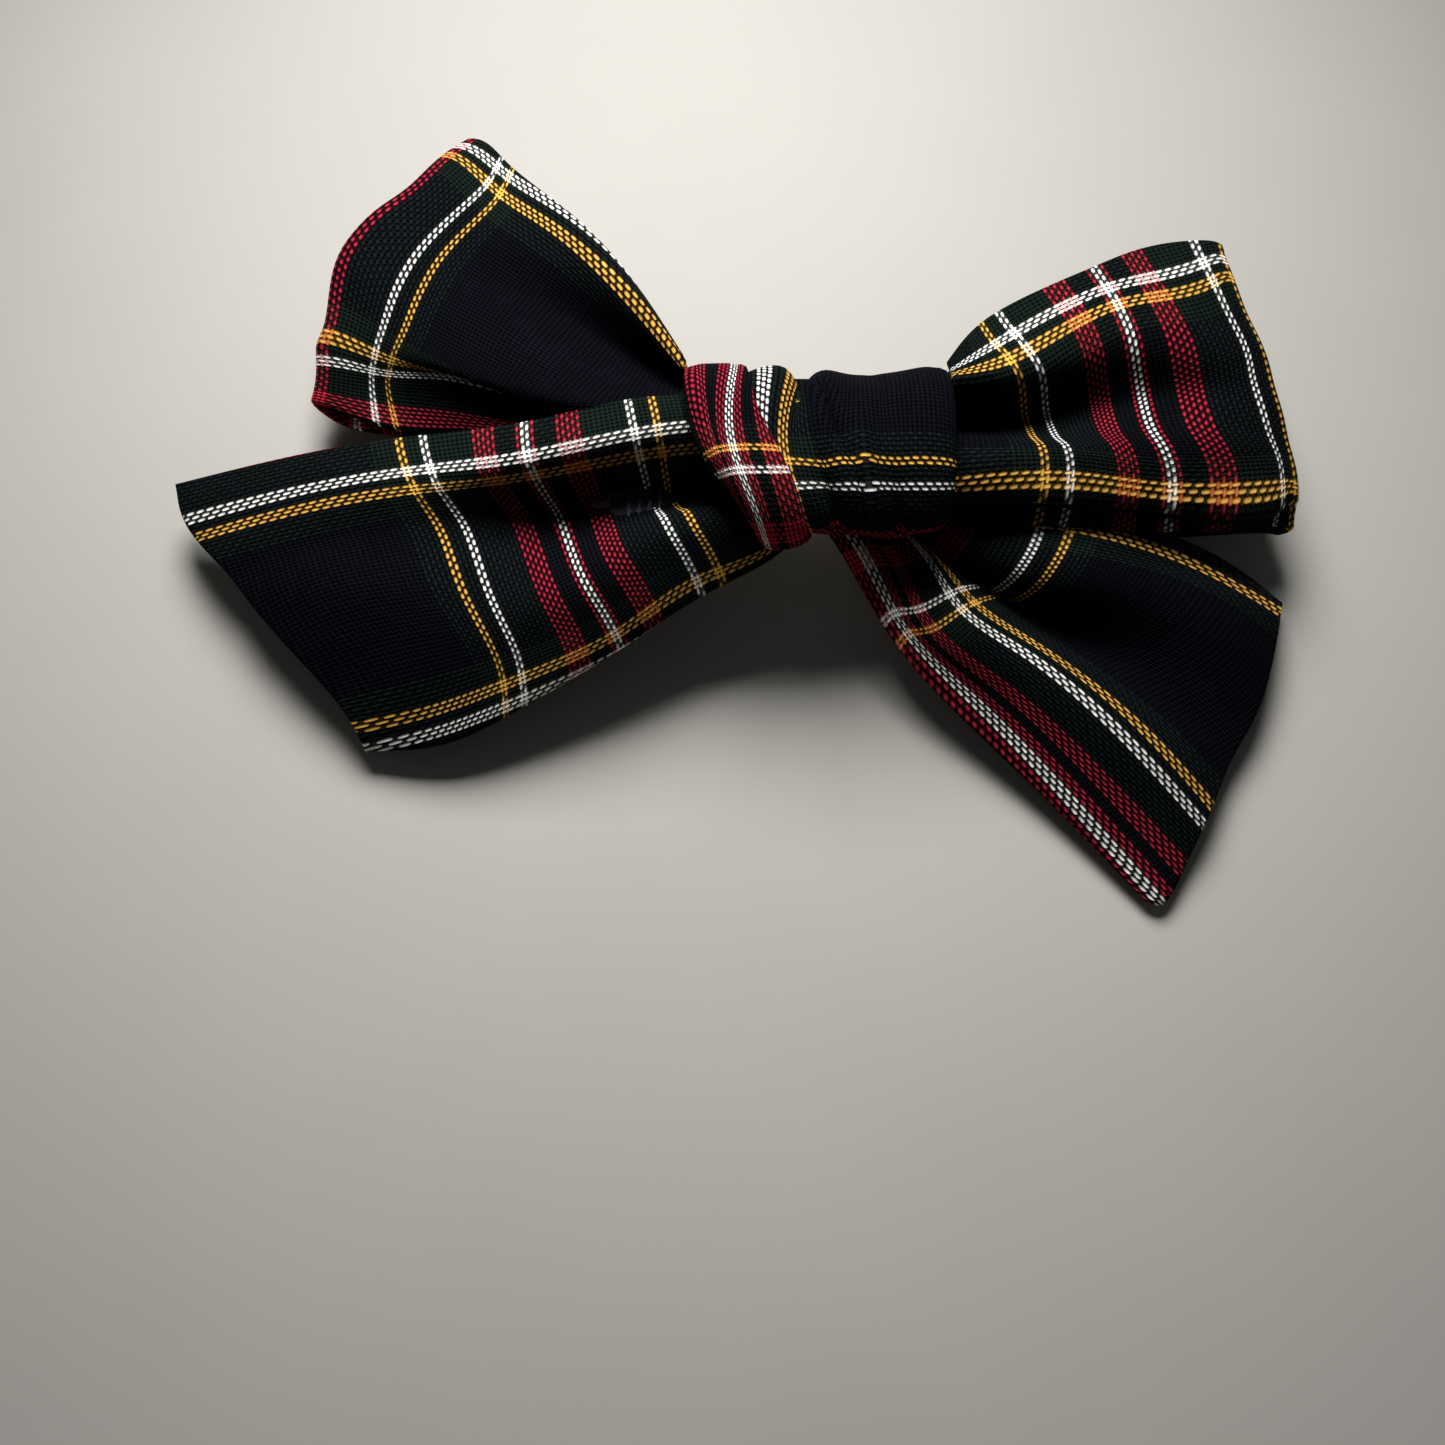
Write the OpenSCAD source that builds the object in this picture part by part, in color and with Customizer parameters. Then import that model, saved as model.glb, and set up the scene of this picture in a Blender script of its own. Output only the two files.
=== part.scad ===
// Tartan hair bow on a French barrette.
// +X runs along the barrette, +Z points away from the head, and z = 0 is the surface it lies on.
// The origin is under the middle of the bow's bounding box. All sizes are in millimetres.

/* [Sash] */
// Thickness of the sewn sash, two plies of cotton with the seam turned inside
sash_thickness = 0.9; // [0.6:0.1:1]
// How far each loop's outer fold bulges past its front row of points
fold_bulge = 0.6; // [0.3:0.1:0.8]
// Smallest gap between the middles of a loop's front and back layers
layer_gap = 1.4; // [1.3:0.1:1.6]

/* [Knot] */
// Depth of the knot band across the barrette
knot_depth = 18.2; // [17:0.2:19]
// Height of the knot band
knot_height = 10.6; // [10:0.2:12]
// Corner radius of the knot band
knot_corner = 4.4; // [3.5:0.1:5]
// Thickness of the gathered wrap that makes the band
wrap_thickness = 1.6; // [1.2:0.1:1.8]
// Clearance between the band and the bundle inside it
wrap_clearance = 0.3; // [0.2:0.1:0.5]

/* [Backing] */
// Length of the felt pad
pad_length = 40; // [36:0.5:40]
// Width of the felt pad
pad_width = 10; // [9:0.5:10]
// Thickness of the felt pad
pad_thickness = 1; // [0.8:0.1:1]
// Thickness of the glue under the middle of the knot
glue_thickness = 0.4; // [0.3:0.1:0.4]
// Side of the sewing thread
thread_size = 0.4; // [0.3:0.1:0.4]
// Turns of thread at each end of the pad
thread_turns = 4; // [2:1:5]

/* [Barrette] */
// Length of the top plate
plate_length = 60; // [58:1:62]
// Width of the top plate
plate_width = 8; // [7:0.5:8.5]
// Thickness of the top plate
plate_thickness = 0.7; // [0.5:0.1:0.8]
// Height of the top of the plate at its middle
plate_top = 8.2; // [8:0.1:8.2]
// Radius that the plate and the clasp arm are bent to
bend_radius = 260; // [240:10:300]
// Gap for hair between the plate and the clasp arm
hair_gap = 4.2; // [4:0.1:4.2]
// Width of the clasp arm
arm_width = 5; // [4.5:0.1:5]
// Thickness of the clasp arm
arm_thickness = 0.8; // [0.7:0.1:0.9]
// Width of the leaf spring
leaf_width = 4.4; // [4:0.1:4.6]
// Thickness of the leaf spring
leaf_thickness = 0.3; // [0.2:0.1:0.3]
// How far the middle of the leaf bows below its ends
leaf_sag = 1.4; // [1:0.1:1.4]

/* [Hinge and catch] */
// Radius of the hinge pin
pin_radius = 0.6; // [0.5:0.05:0.7]
// Radial clearance of the arm's knuckle on the pin
pin_clearance = 0.06; // [0.04:0.01:0.08]
// Outer radius of the arm's knuckle
knuckle_radius = 1.35; // [1.25:0.05:1.35]
// Radius of the rivet shanks
rivet_radius = 0.8; // [0.7:0.05:0.9]
// Radius of the rivet heads
rivet_head = 1.35; // [1.2:0.05:1.4]
// Thickness of the sheet that the bracket and the catch are stamped from
stamping = 0.5; // [0.4:0.1:0.5]
// Length of each catch prong along the barrette
prong_length = 4; // [3.5:0.1:4]
// How far a prong's barb stands out from its shank
barb = 0.35; // [0.2:0.05:0.35]

/* [Hidden] */
$fn = 48;
// Facets in a whole turn of the long, gentle bends
bend_fn = 720;

// Middle of the barrette, under the knot
clip_at = [8.5, 0.5];
// Centre height of the bend circle
bend_z = plate_top - bend_radius;
// Radii of the curved layers, from the top down
pad_r = bend_radius + pad_thickness;
plate_under_r = bend_radius - plate_thickness;
base_r = plate_under_r - 0.02;
base_under_r = base_r - stamping;
arm_r = plate_under_r - hair_gap;
// Places along the barrette, measured from its middle
pin_x = -28;
rivet_x = 21.5;
prong_x = 26;
leaf_half = 19.6;
tab_end = 23.5;
// Heights
pin_z = knuckle_radius;
tab_top = height_at(base_under_r, tab_end);
leaf_r = (leaf_half * leaf_half + leaf_sag * leaf_sag) / (2 * leaf_sag);
// Catch
prong_y = 2.1;
prong_turn_z = 5.6;
window = [5, 5.6];
paddle = [9.5, 9];
knuckle_width = 4.6;
lug_y = 2.5;
fit = 0.02;
// Knot band's outline from above: its left rim leans, as the wrap is pulled down to the right
knot_plan = [[-4, 11], [21.3, 11], [20.4, -10], [4.8, -10]];
knot_middle = [8.5, 0.1];
knot_base = plate_top + pad_thickness + glue_thickness;

// Each limb of the sash is a net of points. A row runs across the sash, and the rows run
// outward from the knot. A tail's last row is its slanted cut end, a loop's is its outer fold.
left_tail_net = [
    [[-3, 6.5, 13.8], [-2, 1, 15], [-1, -3.5, 12.5], [1, -6.5, 14], [3.2, -9, 11.5], [3.6, -9.6, 10.5]],
    [[-8.5, 6.5, 13.2], [-7.5, 0.5, 14.5], [-6, -3, 11], [-4, -8, 14.5], [-2, -11.5, 11.5], [-1.5, -12.5, 10.5]],
    [[-20, 5, 11.2], [-18.5, 0.5, 12.5], [-16.5, -4, 10.5], [-13.5, -12, 12.5], [-10.5, -16.5, 9.5], [-10, -17.5, 8.5]],
    [[-31, 4.5, 8], [-29, -1, 10], [-26, -6.5, 10.5], [-23, -13.5, 10.5], [-20, -20.5, 7], [-19.5, -21.5, 6]],
    [[-43.5, 3, 7], [-42, -2, 8], [-39.5, -7, 8.5], [-35.5, -14, 8.5], [-28.5, -23.5, 5.5], [-27.5, -25, 4]],
    [[-55.5, 1, 5], [-53.5, -4, 5.5], [-49.5, -8.5, 6], [-43, -16, 5.5], [-36, -24.5, 3.5], [-35, -25.5, 2.5]],
];
left_loop_net = [
    [[-4.6, 11, 12], [-4.6, 10, 12.5], [-4.6, 8.5, 11.5], [-4.2, 6.5, 11.6], [-3.8, 3.5, 11.6], [-3.6, 2.5, 11.6]],
    [[-8.5, 18.5, 11], [-9.5, 17, 12], [-11.5, 13, 11], [-14.5, 8.5, 12.5], [-16.5, 6, 10.4], [-16, 4.8, 10.4]],
    [[-16, 29, 9.5], [-17, 26.5, 10.5], [-20.5, 19.5, 12], [-24, 12, 13], [-27, 9, 10], [-25.5, 6, 7.5]],
    [[-23.5, 37.5, 7], [-24.5, 33, 8.5], [-29, 26, 10], [-32.5, 18, 10.5], [-34.5, 12, 9], [-34.5, 7, 5.5]],
    [[-27.5, 41.2, 5.5], [-29, 39, 6.5], [-33, 33, 8], [-39, 24, 8.5], [-40.5, 15.5, 7.5], [-41.5, 10, 5]],
];
left_back_levels = [10.4, 10, 8, 6, 4.5];
left_outward = [-0.8, 0.5];
right_loop_net = [
    [[22, 9, 13.5], [22, 6.5, 15], [22, 5, 14.5], [22.2, 4, 12.2], [21.8, 0, 14.5], [21.8, -3, 14.5], [21.8, -3.8, 13.5],
        [22.2, -5, 11.8]],
    [[26, 15.5, 12.5], [27.5, 11, 14.5], [29.5, 7.5, 14], [30.5, 5, 12.2], [30.5, 0, 14.5], [31.5, -2.5, 13.5],
        [31.5, -3.5, 12.5], [31.5, -5, 10.5]],
    [[37, 22, 11], [38, 17, 13], [39.5, 10.5, 14], [40.5, 6, 13], [41, 1.5, 13.5], [42.5, -3, 12], [42.5, -4, 11],
        [43, -5.5, 9.5]],
    [[48, 26.5, 9], [48.5, 22, 10.5], [50.5, 13, 12], [51, 7, 12.5], [52.5, 2.5, 11.5], [53.5, -2, 10.5], [53.5, -3, 9.8],
        [54, -4.5, 8.5]],
    [[50.5, 27, 8], [50.5, 23.5, 9], [52, 14.5, 10.5], [53, 8, 11], [54, 3, 10], [54.5, -1.5, 9.5], [54.5, -2.5, 8.8],
        [55, -4, 7.5]],
];
right_back_levels = [10.6, 10.2, 9, 7.8, 6.8];
right_outward = [1, 0];
right_tail_net = [
    [[9.5, -9.6, 7.6], [11.5, -9.2, 8.4], [14, -8.8, 8.8], [17, -8.4, 8.2], [20, -7.8, 8], [23.5, -7, 7.8], [27, -6.2, 7.2]],
    [[16, -16, 6.5], [17, -16, 7.5], [19, -15.5, 8.5], [22, -14.5, 9], [26.5, -11.5, 8.5], [31, -8.5, 7], [35, -6.2, 5]],
    [[23, -23.5, 4], [24, -22.5, 5], [26.5, -21.5, 6.5], [29.5, -21, 7.5], [34, -18, 7.5], [39, -13, 6.5], [43, -7.5, 5]],
    [[32.5, -33, 2], [33, -31.5, 3], [35.5, -30, 4.5], [38.5, -27.5, 6], [42, -21.5, 6], [47, -16, 5.5], [50.5, -10.5, 4.5]],
    [[40.5, -41.5, 0.5], [41, -40.5, 1], [43.5, -37.5, 2], [46, -32.5, 3], [49.5, -27, 3.5], [52.5, -20.5, 3.5],
        [55, -13.5, 3.5]],
];

// Height of a circle of radius r about the bend centre, x along from the barrette's middle
function height_at(r, x) = bend_z + sqrt(r * r - x * x);

function last(list) = list[len(list) - 1];
function unit(v) = v / norm(v);
function clamp_index(i, list) = max(0, min(len(list) - 1, i));
function net_at(net, i, j) = net[clamp_index(i, net)][clamp_index(j, net[0])];
// Direction square to the net at row i, column j
function net_normal(net, i, j) =
    unit(cross(net_at(net, i + 1, j) - net_at(net, i - 1, j), net_at(net, i, j + 1) - net_at(net, i, j - 1)));
// The net moved along its own normals by d, as one flat list of points
function moved_net(net, d) = [
    for (i = [0 : len(net) - 1])
        for (j = [0 : len(net[0]) - 1])
            net[i][j] + d * net_normal(net, i, j)
];
// The same net with its columns in the opposite order, so that its outer side faces up on the right
function turned(net) = [for (row = net) [for (j = [len(row) - 1 : -1 : 0]) row[j]]];
function lowered(row, gap) = [for (p = row) [p[0], p[1], p[2] - gap]];
function layer_below(row, level) = [for (p = row) [p[0], p[1], min(p[2] - layer_gap, level)]];
// A loop: front rows out to the fold, the bulging fold itself, and back rows in again underneath
function loop_net(front, levels, outward) = concat(
    front,
    [[for (p = last(front)) p + [outward[0] * fold_bulge, outward[1] * fold_bulge, -layer_gap / 2]]],
    [lowered(last(front), layer_gap)],
    [for (i = [len(front) - 2 : -1 : 0]) layer_below(front[i], levels[i])]
);

// One slab of cloth round a net, closed along its four edges
module cloth(net, thickness) {
    rows = len(net);
    cols = len(net[0]);
    under = rows * cols;
    rim = concat(
        [for (j = [0 : cols - 1]) j],
        [for (i = [1 : rows - 1]) i * cols + cols - 1],
        [for (j = [cols - 2 : -1 : 0]) (rows - 1) * cols + j],
        [for (i = [rows - 2 : -1 : 1]) i * cols]
    );
    polyhedron(
        points = concat(moved_net(net, thickness / 2), moved_net(net, -thickness / 2)),
        faces = concat(
            [for (i = [0 : rows - 2]) for (j = [0 : cols - 2]) for (half = [0, 1])
                let (a = i * cols + j) half == 0 ? [a, a + 1, a + cols] : [a + 1, a + cols + 1, a + cols]],
            [for (i = [0 : rows - 2]) for (j = [0 : cols - 2]) for (half = [0, 1])
                let (a = under + i * cols + j) half == 0 ? [a, a + cols, a + 1] : [a + 1, a + cols, a + cols + 1]],
            [for (k = [0 : len(rim) - 1]) for (half = [0, 1])
                let (a = rim[k], b = rim[(k + 1) % len(rim)])
                half == 0 ? [a, a + under, b] : [b, a + under, b + under]]
        )
    );
}

// Flat outline of a rectangle with round corners, about its own middle
module rounded(size, r) {
    square([size[0] - 2 * r, size[1]], center = true);
    square([size[0], size[1] - 2 * r], center = true);
    for (x = [-1, 1], y = [-1, 1])
        translate([x * (size[0] / 2 - r), y * (size[1] / 2 - r)]) circle(r);
}

// Places a piece of the barrette, whose own frame has x = 0 and y = 0 at the barrette's middle
module on_clip() {
    translate([clip_at[0], clip_at[1], 0]) children();
}

// Strip bent about an axis along Y, its top at radius r about the bend centre
module bent_strip(r, thick, width) {
    half_angle = 8;
    translate([0, 0, bend_z]) rotate([90, 0, 0]) rotate([0, 0, 90 - half_angle])
        rotate_extrude(angle = 2 * half_angle, $fn = bend_fn)
            translate([r - thick, -width / 2]) square([thick, width]);
}

// The part of a bent strip that lies under a flat outline given as children
module bent_sheet(r, thick) {
    intersection() {
        bent_strip(r, thick, 20);
        translate([0, 0, -1]) linear_extrude(plate_top + 4) children();
    }
}

// Round hole straight through everything at x along the barrette
module hole(x, r) {
    translate([x, 0, -1]) cylinder(r = r, h = plate_top + 4);
}

// Tube along X with a rounded section, cut by the knot's outline from above
module knot_section(size, corner, h_middle) {
    translate([-10, knot_middle[1], h_middle]) rotate([90, 0, 90]) linear_extrude(40) rounded(size, corner);
}

module knot_prism(inset) {
    p = knot_plan;
    translate([0, 0, knot_base - 1]) linear_extrude(knot_height + 2)
        polygon([p[0] + [inset, 0], p[1] - [inset, 0], p[2] - [inset, 0], p[3] + [inset, 0]]);
}

module left_loop() {
    color("#1b2230") cloth(loop_net(left_loop_net, left_back_levels, left_outward), sash_thickness);
}

module right_loop() {
    color("#1f2a26") cloth(turned(loop_net(right_loop_net, right_back_levels, right_outward)), sash_thickness);
}

module left_tail() {
    color("#1a2029") cloth(left_tail_net, sash_thickness);
}

module right_tail() {
    color("#8e1a2b") cloth(turned(right_tail_net), sash_thickness);
}

module knot_band() {
    size = [knot_depth, knot_height];
    z = knot_base + knot_height / 2;
    color("#7c1b2a") intersection() {
        difference() {
            knot_section(size, knot_corner, z);
            knot_section(size - 2 * [wrap_thickness, wrap_thickness], knot_corner - wrap_thickness, z);
        }
        knot_prism(0);
    }
}

module knot_core() {
    step = wrap_thickness + wrap_clearance;
    size = [knot_depth, knot_height] - 2 * [step, step];
    color("#242a33") intersection() {
        knot_section(size, knot_corner - step, knot_base + knot_height / 2);
        knot_prism(0.8);
    }
}

module glue_layer() {
    color("#e8dfc6") on_clip() translate([0, 0, knot_base - glue_thickness + fit])
        linear_extrude(glue_thickness - 2 * fit) rounded([18, 7.6], 2);
}

module felt_pad() {
    color("#20242b") on_clip() bent_sheet(pad_r, pad_thickness - fit) rounded([pad_length, pad_width], 2);
}

// Square turns of thread that bind the felt pad to the plate
module sewing_thread() {
    color("#15171c") on_clip() for (side = [-1, 1], turn = [0 : thread_turns - 1]) {
        x = side * (15 + turn);
        top = height_at(pad_r, x) + 0.05;
        under = height_at(plate_under_r, x) - 0.05;
        translate([x - thread_size / 2, 0, (top + under) / 2]) rotate([90, 0, 90]) linear_extrude(thread_size)
            difference() {
                rounded([pad_width + 0.2 + 2 * thread_size, top - under + 2 * thread_size], thread_size);
                square([pad_width + 0.2, top - under], center = true);
            }
    }
}

module top_plate() {
    color("#c9c6bd") on_clip() difference() {
        bent_sheet(bend_radius, plate_thickness) rounded([plate_length, plate_width], 3.4);
        hole(-rivet_x, rivet_radius + fit);
        hole(rivet_x, rivet_radius + fit);
    }
}

// Bracket riveted under the plate, with a lug each side of the arm's knuckle
module hinge_bracket() {
    lug_top = height_at(base_r, pin_x + 1.4) - 0.1;
    color("#bdbab1") on_clip() difference() {
        union() {
            bent_sheet(base_r, stamping) translate([-24.6, 0]) rounded([10.2, 2 * (lug_y + stamping)], 1);
            for (side = [-1, 1])
                translate([pin_x, side * (lug_y + stamping / 2) + stamping / 2, pin_z]) rotate([90, 0, 0])
                    linear_extrude(stamping) {
                        circle(knuckle_radius - 0.05);
                        translate([-1.3, 0]) square([2.6, lug_top - stamping - pin_z]);
                    }
        }
        hole(-rivet_x, rivet_radius + fit);
        translate([pin_x, 10, pin_z]) rotate([90, 0, 0]) cylinder(r = pin_radius + fit, h = 20);
    }
}

module hinge_pin() {
    half = lug_y + stamping + 0.05;
    color("#d8d6d0") on_clip() translate([pin_x, 0, pin_z]) rotate([90, 0, 0]) {
        translate([0, 0, -half]) cylinder(r = pin_radius, h = 2 * half);
        for (side = [-1, 1]) translate([0, 0, side * (half + 0.15) - 0.15]) cylinder(r = 1, h = 0.3);
    }
}

// Rivet through the plate, the stamping below it and the end of the leaf spring
module rivet(x) {
    bottom = tab_top - leaf_thickness;
    top = height_at(bend_radius, x - sign(x) * rivet_head);
    translate([x, 0, bottom - 0.4]) cylinder(r = rivet_head - 0.1, h = 0.38);
    translate([x, 0, bottom - 0.1]) cylinder(r = rivet_radius, h = top - bottom + 0.2);
    translate([x, 0, top + fit]) cylinder(r1 = rivet_head - 0.05, r2 = rivet_head - 0.45, h = 0.4);
}

module hinge_rivet() {
    color("#dedcd6") on_clip() rivet(-rivet_x);
}

module catch_rivet() {
    color("#dedcd6") on_clip() rivet(rivet_x);
}

// Leaf spring that presses the hair against the arm, its flat ends held by the two rivets
module leaf_spring() {
    angle = asin(leaf_half / leaf_r);
    color("#b4b2aa") on_clip() difference() {
        union() {
            translate([0, 0, tab_top - leaf_thickness - leaf_sag + leaf_r]) rotate([90, 0, 0])
                rotate([0, 0, 270 - angle]) rotate_extrude(angle = 2 * angle, $fn = bend_fn)
                    translate([leaf_r - leaf_thickness, -leaf_width / 2]) square([leaf_thickness, leaf_width]);
            for (side = [-1, 1])
                translate([side * (leaf_half + tab_end) / 2, 0, tab_top - leaf_thickness])
                    linear_extrude(leaf_thickness) rounded([tab_end - leaf_half + 0.6, leaf_width], 0.8);
        }
        hole(-rivet_x, rivet_radius + fit);
        hole(rivet_x, rivet_radius + fit);
    }
}

// Clasp arm: bent bar with a knuckle on the pin and a windowed paddle that snaps over the prongs
module clasp_arm() {
    arm_length = prong_x - pin_x;
    color("#c4c1b8") on_clip() difference() {
        union() {
            bent_sheet(arm_r, arm_thickness) {
                translate([pin_x + arm_length / 2, 0]) square([arm_length, arm_width], center = true);
                translate([prong_x, 0]) rounded(paddle, 2);
            }
            translate([pin_x, knuckle_width / 2, pin_z]) rotate([90, 0, 0])
                cylinder(r = knuckle_radius, h = knuckle_width);
        }
        translate([prong_x, 0, -1]) linear_extrude(6) square(window, center = true);
        translate([pin_x, 10, pin_z]) rotate([90, 0, 0]) cylinder(r = pin_radius + pin_clearance, h = 20);
        for (side = [-1, 1])
            translate([pin_x - 3, side * (knuckle_width / 2 + 1) - 1, -1]) cube([5, 2, 6]);
    }
}

// Catch stamping riveted under the plate: the prongs bend down from its narrow end
module catch_base() {
    color("#bdbab1") on_clip() difference() {
        bent_sheet(base_r, stamping) {
            translate([21.4, 0]) rounded([4.6, 6], 1);
            translate([25.6, 0]) rounded([6.4, 2 * (prong_y - stamping / 2 - 0.1)], 0.5);
        }
        hole(rivet_x, rivet_radius + fit);
    }
}

// One prong: a thin shank that turns about its top bend, with a barb that points outward
module prong(side) {
    t = stamping / 2;
    translate([prong_x - prong_length / 2, 0, 0]) rotate([90, 0, 90]) linear_extrude(prong_length)
        translate([side * prong_y, 0]) mirror([side < 0 ? 1 : 0, 0]) {
            translate([0, prong_turn_z]) circle(t);
            polygon([[-t, prong_turn_z], [-t, 0.3], [0, 0], [t, 0.2], [t + barb, 0.9], [t, 1], [t, prong_turn_z]]);
        }
}

module front_prong() {
    color("#d2d0c9") on_clip() prong(-1);
}

module rear_prong() {
    color("#d2d0c9") on_clip() prong(1);
}

left_loop();
right_loop();
left_tail();
right_tail();
knot_band();
knot_core();
glue_layer();
felt_pad();
sewing_thread();
top_plate();
hinge_bracket();
hinge_pin();
hinge_rivet();
clasp_arm();
leaf_spring();
catch_base();
catch_rivet();
front_prong();
rear_prong();
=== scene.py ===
import math

import bpy
import numpy as np
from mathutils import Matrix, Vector


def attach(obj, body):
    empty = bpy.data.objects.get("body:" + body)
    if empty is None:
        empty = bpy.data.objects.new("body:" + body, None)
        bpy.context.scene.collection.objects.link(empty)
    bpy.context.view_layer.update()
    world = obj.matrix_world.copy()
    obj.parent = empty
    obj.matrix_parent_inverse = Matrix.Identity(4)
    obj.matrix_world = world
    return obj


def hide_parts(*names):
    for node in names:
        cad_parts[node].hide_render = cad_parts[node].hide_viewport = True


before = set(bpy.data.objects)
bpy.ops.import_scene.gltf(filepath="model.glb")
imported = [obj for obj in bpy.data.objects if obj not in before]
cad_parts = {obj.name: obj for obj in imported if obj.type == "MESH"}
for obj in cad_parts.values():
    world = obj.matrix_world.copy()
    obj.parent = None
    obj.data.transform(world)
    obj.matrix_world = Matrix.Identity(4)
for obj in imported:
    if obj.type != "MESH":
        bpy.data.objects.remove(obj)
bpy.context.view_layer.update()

MM = 0.001

# ---------------------------------------------------------------- camera

camera_data = bpy.data.cameras.new("camera")
camera_data.lens = 36.05
camera_data.sensor_width = 36
camera = bpy.data.objects.new("camera", camera_data)
camera.location = (-0.3 * MM, -63.7 * MM, 138 * MM)
camera.rotation_euler = (math.radians(16.6), 0, 0)
bpy.context.scene.collection.objects.link(camera)
bpy.context.scene.camera = camera

# ---------------------------------------------------------------- cloth measurements

# Pitch of the yarns in mm: across the sash, and along it
ACROSS_PITCH = 0.40
ALONG_PITCH = 0.50
# Yarns in one repeat of the sett across the sash, and along it
ACROSS_REPEAT = 110
ALONG_REPEAT = 140
# Thickness of the sewn sash in mm
SASH_THICKNESS = 0.9
# Smallest gap between the middles of a loop's layers, and how far its fold bulges outwards, in mm
LAYER_GAP = 1.4
FOLD_BULGE = 0.6
# Side of the fine cloth grid in mm
STEP = 0.45
# Height of the gentle waves in the limbs and in the knot, in mm
LIMB_WAVES = 0.12
KNOT_WAVES = 0.08


# ---------------------------------------------------------------- helpers

def spline(knots, values, where):
    """Natural cubic spline through values, one for each knot, evaluated at where."""
    knots = np.asarray(knots, float)
    values = np.asarray(values, float)
    where = np.asarray(where, float)
    count = len(knots)
    gap = np.diff(knots)
    system = np.eye(count)
    bend = np.zeros_like(values)
    for i in range(1, count - 1):
        system[i, i - 1:i + 2] = gap[i - 1], 2 * (gap[i - 1] + gap[i]), gap[i]
        rise = (values[i + 1] - values[i]) / gap[i]
        bend[i] = 6 * (rise - (values[i] - values[i - 1]) / gap[i - 1])
    bend = np.linalg.solve(system, bend.reshape(count, -1)).reshape(values.shape)
    k = np.clip(np.searchsorted(knots, where, side="right") - 1, 0, count - 2)
    shape = (len(where),) + (1,) * (values.ndim - 1)
    a = ((knots[k + 1] - where) / gap[k]).reshape(shape)
    b = ((where - knots[k]) / gap[k]).reshape(shape)
    g = gap[k].reshape(shape)
    curve = (a ** 3 - a) * bend[k] + (b ** 3 - b) * bend[k + 1]
    return a * values[k] + b * values[k + 1] + curve * g * g / 6


def steps(start, end, size=STEP, rim=SASH_THICKNESS / 2):
    """Places from start to end about size apart, closer together at both ends where the edge is round."""
    close = rim * (1 - np.cos(np.radians([0, 22, 45, 67])))
    inner = np.linspace(start + rim, end - rim, max(3, round((end - start - 2 * rim) / size)))
    return np.concatenate([start + close, inner, end - close[::-1]])


def normals(points):
    """Unit normals of a grid of points."""
    n = np.cross(np.gradient(points, axis=0), np.gradient(points, axis=1))
    return n / np.linalg.norm(n, axis=2, keepdims=True)


def crease(u, s, path, width, height):
    """Soft ridge, or valley where height is negative, along a path of (across, along) places in mm.
    It is full at the path's start, then widens and fades out at its end."""
    pieces = len(path) - 1
    best = np.full_like(u, 1e9)
    place = np.zeros_like(u)
    for k in range(pieces):
        (u0, s0), (u1, s1) = path[k], path[k + 1]
        length2 = (u1 - u0) ** 2 + (s1 - s0) ** 2
        t = np.clip(((u - u0) * (u1 - u0) + (s - s0) * (s1 - s0)) / length2, 0, 1)
        d = np.hypot(u - u0 - t * (u1 - u0), s - s0 - t * (s1 - s0))
        closer = d < best
        best = np.where(closer, d, best)
        place = np.where(closer, (k + t) / pieces, place)
    wide = width * (0.7 + 0.9 * place)
    return height * np.exp(-(best / wide) ** 2) * (1 - place) ** 1.2


def mesh_object(name, vertices, faces, uvs, material):
    """A smooth mesh in metres from points in mm, with the yarn counts of each vertex as its UV layer."""
    mesh = bpy.data.meshes.new(name)
    mesh.from_pydata((np.asarray(vertices) * MM).tolist(), [], faces)
    if uvs is not None:
        layer = mesh.uv_layers.new(name="yarns")
        corner = np.empty(len(mesh.loops), dtype=np.int32)
        mesh.loops.foreach_get("vertex_index", corner)
        layer.data.foreach_set("uv", np.asarray(uvs, float)[corner].ravel())
    mesh.polygons.foreach_set("use_smooth", [True] * len(mesh.polygons))
    mesh.materials.append(material)
    mesh.update()
    obj = bpy.data.objects.new(name, mesh)
    bpy.context.scene.collection.objects.link(obj)
    return obj


def grid_faces(rows, cols):
    """Quads of a rows by cols grid of vertices."""
    faces = []
    for i in range(rows - 1):
        for j in range(cols - 1):
            a = i * cols + j
            faces.append([a, a + 1, a + cols + 1, a + cols])
    return faces


def slab(points, yarns, u, s, thickness):
    """Closed double-ply slab round a grid of points, with round edges.
    Returns vertices, faces and yarn counts."""
    rows, cols = points.shape[:2]
    rim = thickness / 2
    edge_u = np.minimum(u - u.min(), u.max() - u)
    edge_s = np.minimum(s - s.min(), s.max() - s)
    inset = np.minimum(edge_u[None, :], edge_s[:, None])
    part = np.clip(inset / rim, 0, 1)
    half = rim * np.sqrt(1 - (1 - part) ** 2)
    n = normals(points)
    top = points + n * half[:, :, None]
    low = points - n * half[:, :, None]
    index_low = np.full((rows, cols), -1)
    inner = np.ones((rows, cols), bool)
    inner[[0, -1], :] = False
    inner[:, [0, -1]] = False
    index_top = np.arange(rows * cols).reshape(rows, cols)
    index_low[inner] = rows * cols + np.arange(inner.sum())
    index_low[~inner] = index_top[~inner]
    upper_faces = grid_faces(rows, cols)
    lower_faces = [[int(index_low.flat[v]) for v in (a, d, c, b)] for a, b, c, d in upper_faces]
    faces = upper_faces + lower_faces
    vertices = np.concatenate([top.reshape(-1, 3), low[inner]])
    counts = np.concatenate([yarns.reshape(-1, 2), yarns[inner]])
    return vertices, faces, counts


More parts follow.
